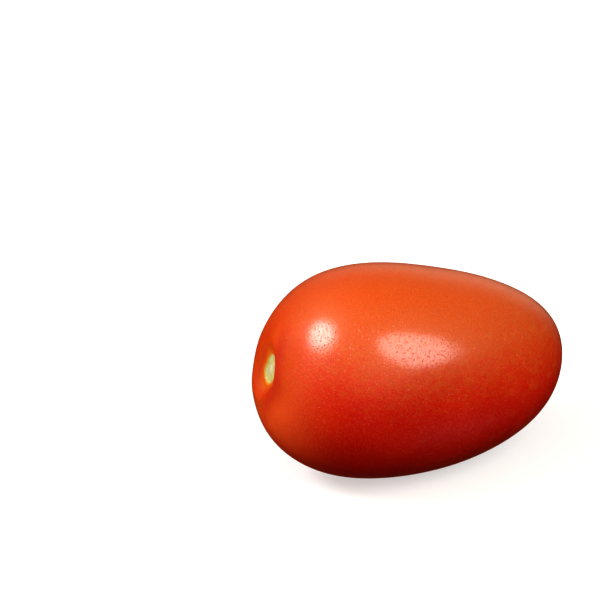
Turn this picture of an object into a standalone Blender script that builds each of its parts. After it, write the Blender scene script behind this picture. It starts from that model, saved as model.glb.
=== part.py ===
"""A plum tomato lying on its side, as one closed solid.

The fruit's long axis runs along X, with the stem end at -X and dipping a little towards
the blossom end at +X, which is how such a fruit lies when it is free to roll. It rests on
the small flat spot where its flesh gives under its own weight. The origin is on the
surface that it rests on, at the centre of its outline seen from above.
Lengths are in metres and angles in radians.
"""

import math

import bmesh
import bpy
from mathutils import Matrix, Vector

NAME = "tomato"

# The body, between its two poles
LENGTH = 0.0772
MIDDLE_RADIUS = 0.0254
TAPER = -0.19  # below zero: the shoulder at the stem end is the fat one
BLUNTNESS = 0.176  # above zero: both ends are rounder than an ellipse's
LOBES = 3
LOBE_HEIGHT = 0.024  # share of the radius, at the blossom end
LOBE_ANGLE = math.radians(-10)
BEND_SIDEWAYS = 0.00125  # how far the poles stand off the middle's axis
BEND_UPWARDS = 0.0019

# The stem end
STEM_SLANT = 0.184  # the end's face looks up by this slope
DIMPLE_DEPTH = 0.0029
DIMPLE_RADIUS = 0.0086
SCAR_RADIUS = 0.0042

# How it lies
PITCH = math.radians(8)
FLAT_DEPTH = 0.0005

# The mesh
SEGMENTS = 56
RINGS = 38
RING_CROWDING = 0.35  # draws the rings towards the stem end, where the dimple needs them
SHARP_ANGLE = math.radians(40)


def clear_scene():
    for old in list(bpy.data.objects):
        bpy.data.objects.remove(old, do_unlink=True)


def plain_material(name, colour, roughness):
    material = bpy.data.materials.new(name)
    material.use_nodes = True
    shader = material.node_tree.nodes["Principled BSDF"]
    shader.inputs["Base Color"].default_value = (*colour, 1)
    shader.inputs["Roughness"].default_value = roughness
    shader.inputs["Metallic"].default_value = 0
    return material


def skin_material():
    return plain_material("tomato_skin", (0.66, 0.045, 0.01), 0.28)


def scar_material():
    return plain_material("stem_scar", (0.66, 0.6, 0.28), 0.75)


def crowded(direction):
    """The same direction with its angle from the stem pole drawn in, on the unit sphere."""
    angle = math.acos(max(-1, min(1, -direction.x)))
    angle -= RING_CROWDING * math.sin(angle)
    around = math.atan2(direction.z, direction.y)
    return Vector((-math.cos(angle), math.sin(angle) * math.cos(around), math.sin(angle) * math.sin(around)))


def body_radius(along, around):
    """The distance from the long axis, for a place from -1 (stem pole) to 1 (blossom pole)."""
    egg = 1 + TAPER * along + BLUNTNESS * along**2
    blossom_share = ((1 + along) / 2) ** 2
    lobes = 1 + LOBE_HEIGHT * blossom_share * math.cos(LOBES * (around - LOBE_ANGLE))
    return MIDDLE_RADIUS * math.sqrt(max(0, 1 - along**2)) * egg * lobes


def fruit_point(direction):
    """Where a point of the unit sphere lands on the fruit's skin."""
    along = direction.x
    around = math.atan2(direction.z, direction.y)
    radius = body_radius(along, around)
    y = radius * math.cos(around)
    z = radius * math.sin(around)
    stem_share = ((1 - along) / 2) ** 2
    x = LENGTH / 2 * along + stem_share * STEM_SLANT * z
    if along < 0:
        x += DIMPLE_DEPTH * math.exp(-((radius / DIMPLE_RADIUS) ** 2))
    return Vector((x, y + BEND_SIDEWAYS * along**2, z + BEND_UPWARDS * along**2))


def shape_fruit(mesh):
    """Turns a ball's poles onto X and moves its points onto the fruit's skin."""
    bmesh.ops.create_uvsphere(mesh, u_segments=SEGMENTS, v_segments=RINGS, radius=1)
    bmesh.ops.rotate(mesh, verts=mesh.verts, matrix=Matrix.Rotation(math.pi / 2, 3, "Y"))
    for vertex in mesh.verts:
        vertex.co = fruit_point(crowded(vertex.co.normalized()))


def mark_scar(mesh, slot):
    """Gives the faces round the stem pole the scar's material."""
    pole = fruit_point(Vector((-1, 0, 0)))
    for face in mesh.faces:
        if (face.calc_center_median() - pole).length < SCAR_RADIUS:
            face.material_index = slot


def lay_down(mesh):
    """Tips the fruit to its resting pitch, with its blossom end lower."""
    bmesh.ops.rotate(mesh, verts=mesh.verts, matrix=Matrix.Rotation(PITCH, 3, "Y"))


def cut_flat_spot(mesh):
    """Slices off the lowest sliver and closes the cut with one flat face."""
    height = min(vertex.co.z for vertex in mesh.verts) + FLAT_DEPTH
    cut = bmesh.ops.bisect_plane(
        mesh,
        geom=mesh.verts[:] + mesh.edges[:] + mesh.faces[:],
        plane_co=(0, 0, height),
        plane_no=(0, 0, -1),
        clear_outer=True,
    )
    rim = [item for item in cut["geom_cut"] if isinstance(item, bmesh.types.BMEdge)]
    for edge in rim:
        for vertex in edge.verts:
            vertex.co.z = height
    bmesh.ops.edgeloop_fill(mesh, edges=rim)


def stand_on_origin(mesh):
    """Puts the flat spot at height 0 and centres the outline on the origin."""
    corners = [
        [pick(vertex.co[axis] for vertex in mesh.verts) for axis in range(3)] for pick in (min, max)
    ]
    low, high = (Vector(corner) for corner in corners)
    middle = (low + high) / 2
    bmesh.ops.translate(mesh, verts=mesh.verts, vec=(-middle.x, -middle.y, -low.z))


def make_tomato(collection):
    data = bpy.data.meshes.new(NAME)
    data.materials.append(skin_material())
    data.materials.append(scar_material())
    mesh = bmesh.new()
    shape_fruit(mesh)
    mark_scar(mesh, slot=1)
    lay_down(mesh)
    cut_flat_spot(mesh)
    stand_on_origin(mesh)
    bmesh.ops.recalc_face_normals(mesh, faces=mesh.faces)
    mesh.to_mesh(data)
    mesh.free()
    data.shade_smooth()
    data.set_sharp_from_angle(angle=SHARP_ANGLE)
    tomato = bpy.data.objects.new(NAME, data)
    collection.objects.link(tomato)
    return tomato


def main():
    clear_scene()
    collection = bpy.data.collections.new(NAME)
    bpy.context.scene.collection.children.link(collection)
    make_tomato(collection)


main()
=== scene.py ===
"""The looks of a plum tomato that lies on its side on a pale floor.

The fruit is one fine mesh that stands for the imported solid. Its form follows the same
rules as the solid's, with the finer shape of the stem end, the scar and the skin added.
Lengths are in metres, angles in radians and colours in linear light, except where a
comment says otherwise.
"""

import math

import bmesh
import bpy
import numpy as np
from mathutils import Matrix, Quaternion, Vector, noise


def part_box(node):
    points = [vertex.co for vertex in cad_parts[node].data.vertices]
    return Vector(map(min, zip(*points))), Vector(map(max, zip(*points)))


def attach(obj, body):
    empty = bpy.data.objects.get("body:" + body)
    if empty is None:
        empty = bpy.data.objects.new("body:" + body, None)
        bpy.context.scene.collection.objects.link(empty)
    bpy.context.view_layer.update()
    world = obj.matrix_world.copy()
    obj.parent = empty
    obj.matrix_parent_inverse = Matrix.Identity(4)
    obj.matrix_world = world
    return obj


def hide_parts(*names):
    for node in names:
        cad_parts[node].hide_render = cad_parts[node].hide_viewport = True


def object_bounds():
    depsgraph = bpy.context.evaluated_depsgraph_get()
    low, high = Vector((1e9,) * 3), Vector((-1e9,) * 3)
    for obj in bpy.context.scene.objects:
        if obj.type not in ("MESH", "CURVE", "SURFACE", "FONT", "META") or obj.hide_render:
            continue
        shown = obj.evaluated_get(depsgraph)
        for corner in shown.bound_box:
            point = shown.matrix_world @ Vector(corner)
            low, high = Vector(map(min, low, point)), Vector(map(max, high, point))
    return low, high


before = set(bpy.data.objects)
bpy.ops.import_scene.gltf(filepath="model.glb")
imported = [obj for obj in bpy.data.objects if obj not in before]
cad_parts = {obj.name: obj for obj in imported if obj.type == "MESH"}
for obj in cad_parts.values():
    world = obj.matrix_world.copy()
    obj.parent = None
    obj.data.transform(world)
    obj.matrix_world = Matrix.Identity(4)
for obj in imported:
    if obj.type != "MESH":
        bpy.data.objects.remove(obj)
cad_low, cad_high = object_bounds()

NODE = "tomato"
MM = 0.001

# The fruit's form, the same as the solid's
LENGTH = 77.2 * MM
MIDDLE_RADIUS = 25.4 * MM
TAPER = -0.19
BLUNTNESS = 0.176
LOBES = 3
LOBE_HEIGHT = 0.024
LOBE_ANGLE = math.radians(-10)
BEND = (1.25 * MM, 1.9 * MM)  # how far both ends lean along Y and Z
STEM_SLANT = 0.184
PITCH = math.radians(8)
FLAT_DEPTH = 0.5 * MM

# The scar's outline. Angles about its middle go from +Y towards +Z.
SCAR_PLACE = (-0.4 * MM, -0.45 * MM)  # its middle along Y and Z, from the stem pole
SCAR_RADIUS = 2.97 * MM
SCAR_OVAL = 0.21
SCAR_TURN = math.radians(-85)  # where the oval is longest
SCAR_CORNERS = 0.06  # three soft corners, one of them near the top
CORNER_TURN = math.radians(-42)
SCAR_POINTS = 0.05  # and four that point along Y and Z
POINT_TURN = math.radians(-4)

# The dimple with the scar as its floor, and a lip that is steep on the near side
SCAR_DEPTH = 2.2 * MM  # behind the end of the undented fruit
SCAR_TILT = (-0.12, 0.10)  # how much deeper it gets along Y and Z
LIP_RADIUS = 8.1 * MM
LIP_SHIFT = 2.0 * MM  # how much nearer to the scar the lip is on the near side
NEAR_SIDE = math.radians(175)
SAG = 1.25 * MM  # how far the lip falls back below the near side
SAG_SIDE = math.radians(198)
SAG_NARROWNESS = 1.5
SHOULDER_RADIUS = 8.5 * MM
SHOULDER_SPREAD = 4.5 * MM
FOLDS = 5
FOLD_HEIGHT = 0.12 * MM
FOLD_TURN = 1.2
STEM_REACH = (0.2, 0.5)  # where the dimple's shape fades in, as shares of half the length

# The scar's relief. Places across it are shares of the way from its middle to its edge.
SCAR_SINK = 0.25 * MM
SINK_EDGE = (0.88, 1.06)
RIDGES = (  # height, middle and width of each
    (0.10 * MM, 1.14, 0.09),  # rolled edge
    (0.06 * MM, 0.66, 0.12),  # ring
    (0.25 * MM, 0.0, 0.3),  # plug
)
CORK_GRAIN = 0.03 * MM
CORK_WAVE = 0.7 * MM
CORK_EDGE = (0.9, 1.05)
NEAR_SCAR = 1.3
FAR_FROM_SCAR = 9.0

# The small scar at the blossom end
TIP_DEPTH = 0.3 * MM
TIP_RADIUS = 1.1 * MM

# The mesh
CELLS = 120  # along each edge of the cube that the ball is made from
CROWDING = 0.55  # draws the cells towards the stem end
UNEVENNESS = 0.18 * MM
UNEVEN_WAVE = 17 * MM


# --- The fruit's mesh ---------------------------------------------------------------


def smooth(value, start, end):
    """0 before start, 1 after end, and a soft slope between them."""
    share = np.clip((value - start) / (end - start), 0, 1)
    return share * share * (3 - 2 * share)


def noise_at(points, wave):
    """Even noise between about -1 and 1, with bumps about one wave apart."""
    return np.array([noise.noise(Vector(point) / wave) for point in points])


def make_ball():
    """A cube cut into a grid, to be blown up to a ball that has no crowded poles."""
    ball = bmesh.new()
    bmesh.ops.create_cube(ball, size=2)
    bmesh.ops.subdivide_edges(ball, edges=ball.edges[:], cuts=CELLS - 1, use_grid_fill=True)
    data = bpy.data.meshes.new("fruit")
    ball.to_mesh(data)
    ball.free()
    return data


def read_points(data):
    points = np.empty(len(data.vertices) * 3)
    data.vertices.foreach_get("co", points)
    return points.reshape(-1, 3)


def even_directions(cube_points):
    """Directions from a cube's surface points, evened out and then drawn towards -X."""
    ways = np.tan(cube_points * math.pi / 4)
    ways /= np.linalg.norm(ways, axis=1, keepdims=True)
    angle = np.arccos(np.clip(-ways[:, 0], -1, 1))
    around = np.arctan2(ways[:, 2], ways[:, 1])
    angle -= CROWDING * np.sin(angle)
    across = np.sin(angle)
    return np.stack([-np.cos(angle), across * np.cos(around), across * np.sin(around)], axis=1)


def scar_edge(around):
    """The scar's outline: its radius at each angle about its middle."""
    oval = SCAR_OVAL * np.cos(2 * (around - SCAR_TURN))
    corners = SCAR_CORNERS * np.cos(3 * (around - CORNER_TURN))
    points = SCAR_POINTS * np.cos(4 * (around - POINT_TURN))
    return SCAR_RADIUS * (1 + oval + corners + points)


def about_scar(y, z):
    """Distance from the scar's middle across the fruit's axis, and the angle about it."""
    from_y = y - SCAR_PLACE[0]
    from_z = z - SCAR_PLACE[1]
    return np.hypot(from_y, from_z), np.arctan2(from_z, from_y)


def dimpled(x, y, z):
    """X of the stem end's skin, once a dimple with the scar's place as its floor is pressed in."""
    distance, around = about_scar(y, z)
    at_shoulder = np.exp(-(((distance - SHOULDER_RADIUS) / SHOULDER_SPREAD) ** 2))
    sagging = np.clip(np.cos(around - SAG_SIDE), 0, None) ** SAG_NARROWNESS
    sag = SAG * sagging * at_shoulder
    folds = FOLD_HEIGHT * np.cos(FOLDS * around + FOLD_TURN) * at_shoulder
    lip = LIP_RADIUS - LIP_SHIFT * np.cos(around - NEAR_SIDE)
    inside = 1 - smooth(distance, scar_edge(around), lip)
    floor = -LENGTH / 2 + SCAR_DEPTH + SCAR_TILT[0] * y + SCAR_TILT[1] * z
    undented = x + sag + folds
    return undented + (floor - undented) * inside


def scar_relief(share):
    """How far in the corky scar lies: sunk, with ridges that stand up in and around it."""
    relief = SCAR_SINK * (1 - smooth(share, *SINK_EDGE))
    for height, middle, width in RIDGES:
        relief = relief - height * np.exp(-(((share - middle) / width) ** 2))
    return relief


def fruit_points(ways):
    """Points of the skin in the fruit's own frame, with the stem pole at -X, and how far out
    each lies from the stem scar's middle, as a share of the way to the scar's edge."""
    along = ways[:, 0]
    around = np.arctan2(ways[:, 2], ways[:, 1])
    egg = 1 + TAPER * along + BLUNTNESS * along**2
    blossom_share = ((1 + along) / 2) ** 2
    lobes = 1 + LOBE_HEIGHT * blossom_share * np.cos(LOBES * (around - LOBE_ANGLE))
    radius = MIDDLE_RADIUS * np.sqrt(np.clip(1 - along**2, 0, None)) * egg * lobes
    y = radius * np.cos(around)
    z = radius * np.sin(around)
    x = LENGTH / 2 * along + ((1 - along) / 2) ** 2 * STEM_SLANT * z

    from_scar, about = about_scar(y, z)
    share = np.where(along < 0, from_scar / scar_edge(about), FAR_FROM_SCAR)
    undented = np.stack([x, y, z], axis=1)
    corky = share < NEAR_SCAR
    cork = np.zeros(len(along))
    cork[corky] = CORK_GRAIN * noise_at(undented[corky], CORK_WAVE)
    cork *= 1 - smooth(share, *CORK_EDGE)
    swell = 1 + UNEVENNESS / MIDDLE_RADIUS * noise_at(undented, UNEVEN_WAVE)
    at_stem = smooth(-along, *STEM_REACH)
    x = x + at_stem * (dimpled(x, y, z) - x + scar_relief(share) + cork)

    from_tip = np.where(along > 0, radius / TIP_RADIUS, FAR_FROM_SCAR)
    x = x - TIP_DEPTH * np.exp(-(from_tip**2)) * (along > 0)
    bent = np.stack([x, y * swell + BEND[0] * along**2, z * swell + BEND[1] * along**2], axis=1)
    return bent, np.minimum(share, FAR_FROM_SCAR)


def laid_down(points):
    """The points with the fruit tipped to its resting pitch, pressed flat below and moved onto
    the solid's place, and where the fruit's own origin went."""
    turn = np.array(Matrix.Rotation(PITCH, 3, "Y"))
    points = points @ turn.T
    ground = points[:, 2].min() + FLAT_DEPTH
    points[:, 2] = np.maximum(points[:, 2], ground)
    low, high = (np.array(corner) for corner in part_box(NODE))
    shift = (low + high) / 2 - (points.min(axis=0) + points.max(axis=0)) / 2
    shift[2] = low[2] - ground
    return points + shift, Vector(shift)


def make_fruit():
    data = make_ball()
    ways = even_directions(read_points(data))
    in_fruit, share = fruit_points(ways)
    place = data.attributes.new("skin_place", "FLOAT_VECTOR", "POINT")
    place.data.foreach_set("vector", in_fruit.ravel())
    from_scar = data.attributes.new("scar_share", "FLOAT", "POINT")
    from_scar.data.foreach_set("value", share)
    lying, centre = laid_down(in_fruit)
    data.vertices.foreach_set("co", lying.ravel())
    data.update()
    data.shade_smooth()
    fruit = bpy.data.objects.new("fruit", data)
    bpy.context.scene.collection.objects.link(fruit)
    return fruit, centre


# --- Shader nodes -------------------------------------------------------------------


def new_material(name):
    material = bpy.data.materials.new(name)
    material.use_nodes = True
    return material, material.node_tree


def add(tree, kind, inputs=None, **settings):
    """Adds a node. Each input takes a plain value or another node's output socket."""
    node = tree.nodes.new("ShaderNode" + kind)
    for name, value in settings.items():
        setattr(node, name, value)
    for name, value in (inputs or {}).items():
        if isinstance(value, bpy.types.NodeSocket):
            tree.links.new(value, node.inputs[name])
        else:
            node.inputs[name].default_value = value
    return node


def maths(tree, operation, first, second=0.0):
    return add(tree, "Math", {0: first, 1: second}, operation=operation).outputs[0]


def both(tree, first, second):
    """The product of two shares: full only where both are."""
    return maths(tree, "MULTIPLY", first, second)


def ramp(tree, value, start, end, low=0.0, high=1.0):
    """A soft slope from low to high as the value goes from start to end."""
    inputs = {"Value": value, "From Min": start, "From Max": end, "To Min": low, "To Max": high}
    return add(tree, "MapRange", inputs, interpolation_type="SMOOTHSTEP").outputs["Result"]


def fade(tree, value, start, end):
    """1 up to start and 0 from end on."""
    return ramp(tree, value, start, end, 1.0, 0.0)


def blend(tree, factor, first, second):
    node = add(tree, "Mix", {0: factor}, data_type="RGBA")
    for socket, value in ((node.inputs[6], first), (node.inputs[7], second)):
        if isinstance(value, bpy.types.NodeSocket):
            tree.links.new(value, socket)
        else:
            socket.default_value = (*value, 1)
    return node.outputs[2]


def distance_to(tree, place, point):
    inputs = {0: place, 1: point}
    return add(tree, "VectorMath", inputs, operation="DISTANCE").outputs["Value"]


def noise_field(tree, place, wave, detail, roughness):
    """Noise between 0 and 1, with spots about one wave apart and finer layers on top."""
    inputs = {"Vector": place, "Scale": 1 / wave, "Detail": detail, "Roughness": roughness}
    return add(tree, "TexNoise", inputs).outputs["Fac"]


DOT_CORE = 0.6  # how much of a dot's radius is at full strength


def dots(tree, place, spacing, radius, share):
    """Round dots about one spacing apart, of which only this share are there."""
    cells = add(tree, "TexVoronoi", {"Vector": place, "Scale": 1 / spacing})
    reach = radius / spacing
    near = fade(tree, cells.outputs["Distance"], DOT_CORE * reach, reach)
    drawn = add(tree, "SeparateColor", {"Color": cells.outputs["Color"]}).outputs[0]
    return both(tree, near, maths(tree, "LESS_THAN", drawn, share))


def bumped(tree, height, strength, distance, normal=None):
    """The surface's direction as a height field tips it, on top of any bumps before."""
    inputs = {"Height": height, "Strength": strength, "Distance": distance}
    if normal is not None:
        inputs["Normal"] = normal
    return add(tree, "Bump", inputs).outputs[0]


# --- The tomato's material ----------------------------------------------------------

# The skin's colours
RIPE_RED = (0.53, 0.012, 0.004)
BRIGHT_RED = (0.58, 0.018, 0.005)
# Orange of the stem end's skin, also used as painted light on the top
ORANGE_AND_PAINTED_TOP_LIGHT = (0.51, 0.090, 0.012)
# Painted shade: deeper red underneath
PAINTED_UNDERSIDE_SHADE = (0.46, 0.009, 0.002)
BLOTCH = (0.62, 0.14, 0.035)
PALE_GRAIN = (0.64, 0.12, 0.020)
DARK_GRAIN = (0.42, 0.008, 0.002)
FLECK = (0.72, 0.20, 0.05)

# The stem end's colours, from the cheeks inwards, with painted shade among them, and the blossom
# speck's
# Partly the fruit's own orange and partly painted shade
STEM_ORANGE_AND_SHADE = (0.515, 0.066, 0.003)
# Painted shade on the far side of the stem end, as neighbouring fruit would cast
FAR_CHEEK_SHADE = (0.46, 0.050, 0.001)
# Painted shade: a deeper red ring round the lip on the near side
LIP_SHADE = (0.44, 0.026, 0.004)
HALO = (0.55, 0.135, 0.002)
RIM = (0.60, 0.30, 0.03)
CORK = (0.50, 0.56, 0.29)
DARK_CORK = (0.41, 0.49, 0.22)
CORK_CORE = (0.53, 0.67, 0.52)
SPECK = (0.30, 0.16, 0.06)

# Where the skin's colours are, along the fruit's own X and Z, and how far from the scar
# Painted light: the top turns orange over this range of Z
PAINTED_TOP_LIGHT_RISE = (-2 * MM, 20 * MM)
ORANGE_AT_STEM = (8 * MM, 30 * MM)
STEM_ORANGENESS = 0.85
# Painted shade: the underside turns deeper red over this range of Z
UNDERSIDE_SHADE_RANGE = (-12 * MM, -22 * MM)
BLOTCHED_END = (5 * MM, 30 * MM)
BLOTCH_STRENGTH = 0.3

# The skin's patterns: wave, finer layers and their strength, as noise_field takes them, and
# the noise values between which each comes in
MOTTLE = (14 * MM, 3.0, 0.5)
MOTTLE_RANGE = (0.35, 0.65)
TOP_LIGHT_EDGE_NOISE = (1.6 * MM, 3.0, 0.65)
TOP_LIGHT_EDGE_RANGE = (0.3, 0.7)
TOP_LIGHT_EDGE_REACH = 3 * MM  # how far the noise moves the edge of the painted top light up and down
BLOTCHES = (3.2 * MM, 1.0, 0.5)
BLOTCH_RANGE = (0.55, 0.75)
GRAIN = (0.42 * MM, 1.0, 0.5)
PALE_RANGE = (0.5, 0.75)
PALE_STRENGTH = 0.35
DARK_RANGE = (0.5, 0.25)
DARK_STRENGTH = 0.2
FLECK_SPACING = 5.5 * MM
FLECK_RADIUS = 0.30 * MM
FLECK_SHARE = 0.3
FLECK_STRENGTH = 0.6

# The stem end's zones: distances from the scar, places along Y, and rings as shares of the
# scar's radius
CHEEK_REACH = (5 * MM, 14 * MM)
# Where the painted shade on the far cheek reaches, and from which side
FAR_CHEEK_SHADE_REACH = (7 * MM, 13 * MM)
FAR_CHEEK_SHADE_SIDE = (2 * MM, 5 * MM)
# Where the painted shade round the lip lies: its side along Y and its inner and outer rings
LIP_SHADE_SIDE = (-4 * MM, 1 * MM)
LIP_SHADE_INNER = (1.1, 1.5)
LIP_SHADE_OUTER = (2.2, 4.0)
HALO_SIDE = (-4 * MM, 0.0)
NEAR_HALO = 0.3  # how strong the halo still is on the near side
HALO_RING = (1.05, 1.8)
RIM_RING = (1.02, 1.16)
SCAR_RING = (0.93, 1.04)
CORE_RING = (0.15, 0.45)
WOBBLE = (1.4 * MM, 2.0, 0.5)
EDGE_WOBBLE = 0.16
CORK_PATCHES = (1.1 * MM, 3.0, 0.6)
CORK_RANGE = (0.4, 0.62)
SPECK_EDGE = (0.5 * MM, 1.0 * MM)
SPECK_WOBBLE = 1.2 * MM

# The surface: its noises, how strong and deep its bumps are, and how rough it is
GLOSS = (6 * MM, 3.0, 0.5)
GLOSS_RANGE = (0.3, 0.7)
SKIN_ROUGHNESS = (0.38, 0.46)
CORK_ROUGHNESS = 0.8
PORES = (0.45 * MM, 2.0, 0.5)
PORE_STRENGTH = 0.2
PORE_HEIGHT = 0.06 * MM
PITS = (0.38 * MM, 1.0, 0.5)
PIT_RANGE = (0.6, 0.74)
PIT_STRENGTH = 1.0
PIT_DEPTH = 0.042 * MM
CORK_BUMPS = (0.35 * MM, 3.0, 0.5)
CORK_BUMP_STRENGTH = 0.5
CORK_BUMP_HEIGHT = 0.12 * MM
SKIN_LAYERS = {
    "Metallic": 0,
    "Specular IOR Level": 0.15,
    "IOR": 1.4,
    "Coat Weight": 1.0,
    "Coat IOR": 1.5,
    "Coat Roughness": 0.175,
    "Subsurface Weight": 0.35,
    "Subsurface Radius": (1.0, 0.2, 0.08),
    "Subsurface Scale": 3 * MM,
}


def skin_colour_and_painted_light(tree, place, from_stem):
    """Red below, orange round the stem, uneven, with painted light as more orange on the top and
    painted shade as deeper red underneath.
    """
    axes = add(tree, "SeparateXYZ", {"Vector": place})
    mottle = noise_field(tree, place, *MOTTLE)
    colour = blend(tree, ramp(tree, mottle, *MOTTLE_RANGE), RIPE_RED, BRIGHT_RED)
    top_light_noise = noise_field(tree, place, *TOP_LIGHT_EDGE_NOISE)
    top_light_edge_shift = ramp(tree, top_light_noise, *TOP_LIGHT_EDGE_RANGE, -TOP_LIGHT_EDGE_REACH, TOP_LIGHT_EDGE_REACH)
    # Painted light: the top is more orange, with a ragged edge; the orange round the stem is the
    # fruit's own
    painted_top_light = ramp(tree, maths(tree, "ADD", axes.outputs["Z"], top_light_edge_shift), *PAINTED_TOP_LIGHT_RISE)
    near_stem = both(tree, fade(tree, from_stem, *ORANGE_AT_STEM), STEM_ORANGENESS)
    colour = blend(tree, maths(tree, "MAXIMUM", painted_top_light, near_stem), colour, ORANGE_AND_PAINTED_TOP_LIGHT)
    # Painted shade: deeper red underneath
    colour = blend(tree, ramp(tree, axes.outputs["Z"], *UNDERSIDE_SHADE_RANGE), colour, PAINTED_UNDERSIDE_SHADE)
    blotches = ramp(tree, noise_field(tree, place, *BLOTCHES), *BLOTCH_RANGE)
    far_end = ramp(tree, axes.outputs["X"], *BLOTCHED_END, 0.0, BLOTCH_STRENGTH)
    return blend(tree, both(tree, blotches, far_end), colour, BLOTCH)


def add_grain(tree, place, colour):
    """Fine pale and dark grain, and a few pale flecks."""
    grain = noise_field(tree, place, *GRAIN)
    pale = ramp(tree, grain, *PALE_RANGE, 0.0, PALE_STRENGTH)
    colour = blend(tree, pale, colour, PALE_GRAIN)
    dark = ramp(tree, grain, *DARK_RANGE, 0.0, DARK_STRENGTH)
    colour = blend(tree, dark, colour, DARK_GRAIN)
    flecks = dots(tree, place, FLECK_SPACING, FLECK_RADIUS, FLECK_SHARE)
    return blend(tree, both(tree, flecks, FLECK_STRENGTH), colour, FLECK)


def add_stem_end(tree, place, from_stem, edge, colour):
    """Purer orange cheeks that are partly painted shade, painted shade on the far side and as a
    deeper red ring round the near lip, then a halo and a thin rim.
    """
    side = add(tree, "SeparateXYZ", {"Vector": place}).outputs["Y"]
    # Deeper orange cheeks round the stem: partly the fruit's own colour, partly painted shade
    colour = blend(tree, fade(tree, from_stem, *CHEEK_REACH), colour, STEM_ORANGE_AND_SHADE)
    # Painted shade: darker on the far side of the stem end
    far_cheek_shade = both(tree, ramp(tree, side, *FAR_CHEEK_SHADE_SIDE), fade(tree, from_stem, *FAR_CHEEK_SHADE_REACH))
    colour = blend(tree, far_cheek_shade, colour, FAR_CHEEK_SHADE)
    # Painted shade: a deeper red ring round the lip on the near side
    lip = both(tree, ramp(tree, edge, *LIP_SHADE_INNER), fade(tree, edge, *LIP_SHADE_OUTER))
    colour = blend(tree, both(tree, lip, fade(tree, side, *LIP_SHADE_SIDE)), colour, LIP_SHADE)
    far_side = ramp(tree, side, *HALO_SIDE, NEAR_HALO, 1.0)
    colour = blend(tree, both(tree, fade(tree, edge, *HALO_RING), far_side), colour, HALO)
    return blend(tree, fade(tree, edge, *RIM_RING), colour, RIM)


def cork_colour(tree, place, edge):
    """The dried scar: pale and darker cork, with a paler core."""
    patches = noise_field(tree, place, *CORK_PATCHES)
    cork = blend(tree, ramp(tree, patches, *CORK_RANGE), CORK, DARK_CORK)
    return blend(tree, fade(tree, edge, *CORE_RING), cork, CORK_CORE)


def add_speck(tree, place, wobble, colour):
    """The small brown speck at the blossom end."""
    from_tip = distance_to(tree, place, (LENGTH / 2, *BEND))
    uneven = maths(tree, "ADD", from_tip, maths(tree, "MULTIPLY", wobble, SPECK_WOBBLE))
    return blend(tree, fade(tree, uneven, *SPECK_EDGE), colour, SPECK)


def surface_roughness(tree, place, in_scar):
    gloss = noise_field(tree, place, *GLOSS)
    skin = ramp(tree, gloss, *GLOSS_RANGE, *SKIN_ROUGHNESS)
    inputs = {0: in_scar, 2: skin, 3: CORK_ROUGHNESS}
    return add(tree, "Mix", inputs, data_type="FLOAT").outputs[0]


def surface_bumps(tree, place, in_scar):
    """Pores and sparse pits all over, and coarser grain on the cork."""
    pores = noise_field(tree, place, *PORES)
    normal = bumped(tree, pores, PORE_STRENGTH, PORE_HEIGHT)
    pits = ramp(tree, noise_field(tree, place, *PITS), *PIT_RANGE)
    normal = bumped(tree, pits, PIT_STRENGTH, -PIT_DEPTH, normal)
    cork_grain = noise_field(tree, place, *CORK_BUMPS)
    cork_strength = both(tree, in_scar, CORK_BUMP_STRENGTH)
    return bumped(tree, cork_grain, cork_strength, CORK_BUMP_HEIGHT, normal)


def tomato_material():
    material, tree = new_material("tomato_skin")
    place = add(tree, "Attribute", attribute_name="skin_place").outputs["Vector"]
    share = add(tree, "Attribute", attribute_name="scar_share").outputs["Fac"]
    wobble = maths(tree, "SUBTRACT", noise_field(tree, place, *WOBBLE), 0.5)
    edge = maths(tree, "ADD", share, maths(tree, "MULTIPLY", wobble, EDGE_WOBBLE))
    from_stem = distance_to(tree, place, (-LENGTH / 2 + SCAR_DEPTH, *BEND))
    in_scar = fade(tree, edge, *SCAR_RING)

    colour = skin_colour_and_painted_light(tree, place, from_stem)
    colour = add_grain(tree, place, colour)
    colour = add_stem_end(tree, place, from_stem, edge, colour)
    colour = blend(tree, in_scar, colour, cork_colour(tree, place, edge))
    colour = add_speck(tree, place, wobble, colour)
    normal = surface_bumps(tree, place, in_scar)

    shader = tree.nodes["Principled BSDF"]
    tree.links.new(colour, shader.inputs["Base Color"])
    tree.links.new(surface_roughness(tree, place, in_scar), shader.inputs["Roughness"])
    tree.links.new(normal, shader.inputs["Normal"])
    tree.links.new(normal, shader.inputs["Coat Normal"])
    for name, value in SKIN_LAYERS.items():
        shader.inputs[name].default_value = value
    return material


# --- The stage ----------------------------------------------------------------------

BACKDROP = 0.94  # how bright the floor far away and the backdrop look
FLOOR_COLOUR = (0.83, 0.835, 0.86)
FLOOR_RADIUS = 30.0
FLOOR_SIDES = 96
SHADOW_REACH = (0.12, 0.6)  # full shadows within the first, and none past the second
SHADOW_SHARE = 0.6

LIGHT_DISTANCE = 1.2
LIGHT_COLOUR = (1.0, 1.0, 0.99)

# Name, azimuth, elevation and roll in degrees, long and short width, and radiance. The core
# makes the middle of the left softbox brighter than its edge.
LIGHTS = (
    ("left_softbox", -100, 44.5, 24, (0.80, 0.58), 4.2),
    ("left_core", -102, 44.5, 24, (0.52, 0.39), 6.2),
    ("front_softbox", 29.8, 41.5, -58, (1.07, 0.61), 4.85),
)

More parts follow.
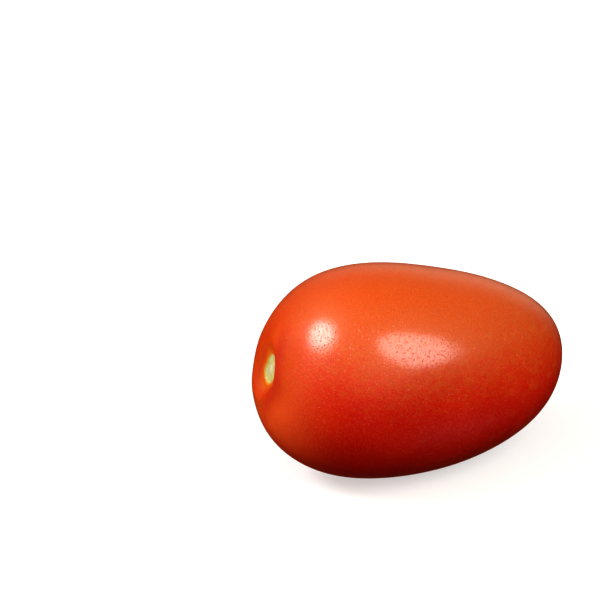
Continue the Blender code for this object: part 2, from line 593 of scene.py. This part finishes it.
# The room as soft patches of light: azimuth and elevation in degrees, how narrow, and the
# colour's brightness. The red ones stand for what neighbouring fruit would throw back.
GLOWS = (
    (-100, 45, 6, (1.12, 1.02, 0.80)),
    (-10, 45, 4, (0.68, 0.62, 0.52)),
    (80, 45, 4, (0.14, 0.14, 0.14)),
    (31, 40, 7, (0.66, 0.55, 0.28)),
    (134, 9, 18, (0.46, 0.43, 0.36)),
    (160, 11, 18, (0.28, 0.23, 0.16)),
    (178, 30, 8, (0.02, 0.04, 0.13)),
    (-95, 5, 6, (0.32, 0.17, 0.14)),
    (-105, -30, 6, (0.69, 0.22, 0.07)),
    (-20, 5, 4, (0.07, 0.07, 0.07)),
    (41, -44, 30, (0.09, 0.15, 0.19)),
    (-150, 0, 5, (0.36, 0.05, 0.01)),
    (160, -25, 4, (0.12, 0.03, 0.015)),
)


def direction(azimuth, elevation):
    """Azimuth 0 points to -Y and 90 to +X, both in degrees."""
    turn = math.radians(azimuth)
    rise = math.radians(elevation)
    level = math.cos(rise)
    return Vector((math.sin(turn) * level, -math.cos(turn) * level, math.sin(rise)))


def floor_material():
    """Takes soft shadows near the fruit and is as bright as the backdrop farther out."""
    material, tree = new_material("floor")
    shader = tree.nodes["Principled BSDF"]
    shader.inputs["Base Color"].default_value = (*FLOOR_COLOUR, 1)
    shader.inputs["Roughness"].default_value = 1
    shader.inputs["Specular IOR Level"].default_value = 0
    place = add(tree, "TexCoord").outputs["Object"]
    distance = add(tree, "VectorMath", {0: place}, operation="LENGTH").outputs["Value"]
    takes_shadow = ramp(tree, distance, *SHADOW_REACH, SHADOW_SHARE, 0.0)
    paper = add(tree, "Emission", {"Color": (BACKDROP, BACKDROP, BACKDROP, 1), "Strength": 1})
    mixed = add(tree, "MixShader", {0: takes_shadow, 1: paper.outputs[0], 2: shader.outputs[0]})
    tree.links.new(mixed.outputs[0], tree.nodes["Material Output"].inputs["Surface"])
    return material


def make_floor():
    data = bpy.data.meshes.new("floor")
    disc = bmesh.new()
    bmesh.ops.create_circle(disc, cap_ends=True, segments=FLOOR_SIDES, radius=FLOOR_RADIUS)
    disc.to_mesh(data)
    disc.free()
    data.materials.append(floor_material())
    floor = bpy.data.objects.new("floor", data)
    floor.location.z = cad_low.z
    floor.visible_diffuse = False
    floor.visible_glossy = False
    floor.visible_shadow = False
    bpy.context.scene.collection.objects.link(floor)


def make_light(target, name, azimuth, elevation, roll, size, radiance):
    """A soft oval light. Radiance says how bright it looks, where 1 is white."""
    lamp = bpy.data.lights.new(name, "AREA")
    lamp.shape = "ELLIPSE"
    lamp.size, lamp.size_y = size
    area = math.pi * size[0] * size[1] / 4
    lamp.energy = radiance * math.pi * area
    lamp.color = LIGHT_COLOUR
    light = bpy.data.objects.new(name, lamp)
    way = direction(azimuth, elevation)
    rolled = Quaternion((0, 0, 1), math.radians(roll))
    light.location = target + way * LIGHT_DISTANCE
    light.rotation_mode = "QUATERNION"
    light.rotation_quaternion = way.to_track_quat("Z", "Y") @ rolled
    bpy.context.scene.collection.objects.link(light)


def glow(tree, way, azimuth, elevation, narrowness, colour):
    """A patch of the room's light, brightest one way and gone at a right angle to it."""
    inputs = {0: way, 1: direction(azimuth, elevation)}
    facing = add(tree, "VectorMath", inputs, operation="DOT_PRODUCT").outputs["Value"]
    share = maths(tree, "POWER", maths(tree, "MAXIMUM", facing, 0.0), narrowness)
    return add(tree, "VectorMath", {0: colour, "Scale": share}, operation="SCALE").outputs["Vector"]


def make_world():
    """The glows light the fruit, and the camera sees the pale backdrop instead of them."""
    world = bpy.data.worlds.new("studio")
    bpy.context.scene.world = world
    world.use_nodes = True
    tree = world.node_tree
    tree.nodes.clear()
    way = add(tree, "TexCoord").outputs["Generated"]
    light = (0.0, 0.0, 0.0)
    for patch in GLOWS:
        light = add(tree, "VectorMath", {0: light, 1: glow(tree, way, *patch)}).outputs["Vector"]
    room = add(tree, "Background", {"Color": light})
    backdrop = add(tree, "Background", {"Color": (BACKDROP, BACKDROP, BACKDROP, 1)})
    seen = add(tree, "LightPath").outputs["Is Camera Ray"]
    mixed = add(tree, "MixShader", {0: seen, 1: room.outputs[0], 2: backdrop.outputs[0]})
    output = add(tree, "OutputWorld")
    tree.links.new(mixed.outputs[0], output.inputs["Surface"])


# --- The camera ---------------------------------------------------------------------

CAMERA_AZIMUTH = -21.0  # in degrees, as is the elevation
CAMERA_ELEVATION = 30.0
CAMERA_DISTANCE = 0.4317
SENSOR = 36.0  # in millimetres, as is the lens
LENS = 106.1
FRUIT_IN_FRAME = (0.1888, -0.113)  # right of and above the middle, in frame widths


def make_camera(target):
    """Looks down at the fruit from the front left, with it off the middle of the frame."""
    data = bpy.data.cameras.new("camera")
    data.sensor_width = SENSOR
    data.lens = LENS
    camera = bpy.data.objects.new("camera", data)
    back = direction(CAMERA_AZIMUTH, CAMERA_ELEVATION)
    camera.location = target + back * CAMERA_DISTANCE
    to_fruit = Vector((*FRUIT_IN_FRAME, -LENS / SENSOR))
    aside = to_fruit.rotation_difference(Vector((0, 0, -1)))
    camera.rotation_mode = "QUATERNION"
    camera.rotation_quaternion = back.to_track_quat("Z", "Y") @ aside
    bpy.context.scene.collection.objects.link(camera)
    bpy.context.scene.camera = camera


def main():
    fruit, centre = make_fruit()
    fruit.data.materials.append(tomato_material())
    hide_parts(NODE)
    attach(fruit, "root")
    make_floor()
    for light in LIGHTS:
        make_light(centre, *light)
    make_world()
    make_camera(centre)
    bpy.context.scene.view_settings.view_transform = "Standard"
    bpy.context.scene.view_settings.look = "High Contrast"


main()
